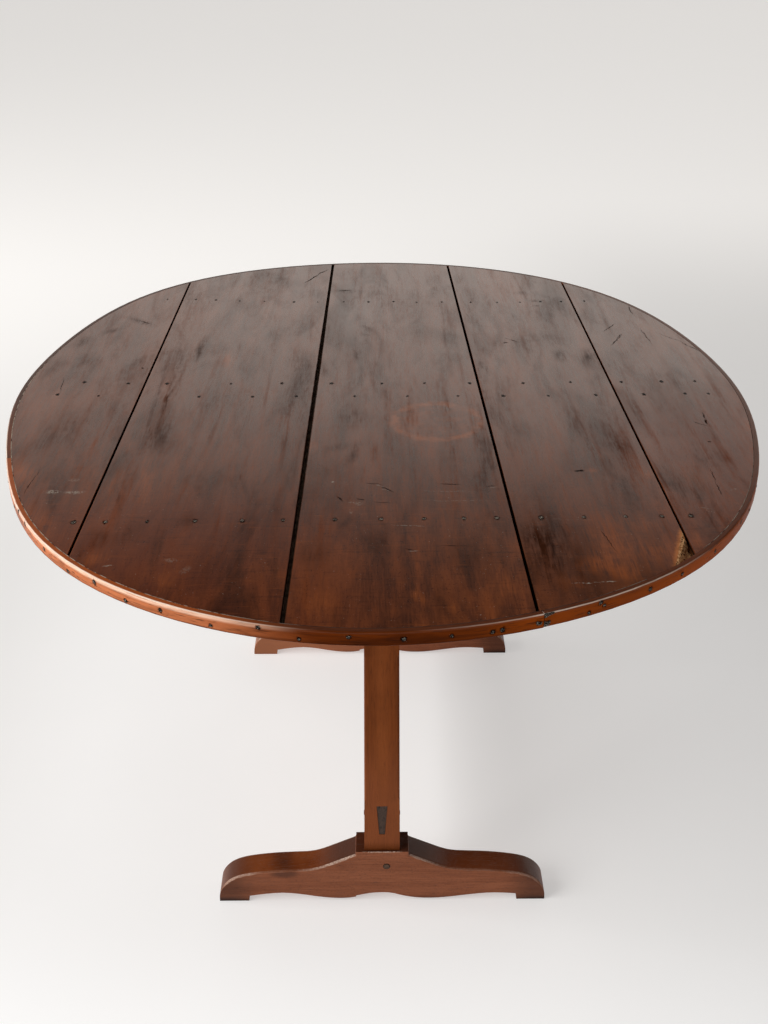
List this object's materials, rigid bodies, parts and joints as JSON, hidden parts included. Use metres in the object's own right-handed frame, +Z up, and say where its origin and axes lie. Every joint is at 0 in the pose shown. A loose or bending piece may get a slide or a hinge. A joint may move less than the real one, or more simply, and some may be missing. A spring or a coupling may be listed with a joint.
{
  "type": "wine tasting table",
  "caption": "Oval plank-topped table with a bent edge band, tilting on pivot pins between the posts of a trestle base with shaped feet, held by a sliding lock peg.",
  "frame": {"origin": "on the floor, under the middle of the oval top", "axes": "+X to the right as seen from the pictured end, +Y away from the viewer along the planks and the long axis of the oval, +Z up"},
  "size_m": [1.148, 1.3314, 0.73],
  "materials": {
    "top_wood": "worn waxed dark brown, semi-gloss",
    "band_wood": "waxed orange brown, semi-gloss",
    "under_wood": "bare dusty brown, matt",
    "peg_wood": "dark end grain, satin",
    "foot_wood": "waxed red brown, satin",
    "post_wood": "waxed orange brown, satin"
  },
  "bodies": {
    "base": {"front_foot": "foot_wood", "rear_foot": "foot_wood", "front_post": "post_wood", "rear_post": "post_wood", "lower_stretcher": "post_wood", "upper_rail": "post_wood", "front_foot_peg": "peg_wood", "rear_foot_peg": "peg_wood", "front_rail_peg": "peg_wood", "rear_rail_peg": "peg_wood", "front_stretcher_peg": "peg_wood", "rear_stretcher_peg": "peg_wood", "front_pivot_pin": "peg_wood", "rear_pivot_pin": "peg_wood"},
    "top": {"plank_1": "top_wood", "plank_2": "top_wood", "plank_3": "top_wood", "plank_4": "top_wood", "plank_5": "top_wood", "edge_band_front": "band_wood", "edge_band_right": "band_wood", "edge_band_back": "band_wood", "front_batten": "under_wood", "middle_batten": "under_wood", "rear_batten": "under_wood", "front_pivot_cheek": "under_wood", "rear_pivot_cheek": "under_wood"},
    "lock_peg": {"lock_peg": "peg_wood"}
  },
  "joints": [
    {"name": "top_tilt", "type": "hinge", "parent": "base", "child": "top", "pos_m": [0.014, 0, 0.6815], "axis": [0, 1, 0], "range_deg": [0, 90]},
    {"name": "lock_slide", "type": "slide", "parent": "top", "child": "lock_peg", "axis": [0, 1, 0], "range_m": [0, 0.016]}
  ]
}
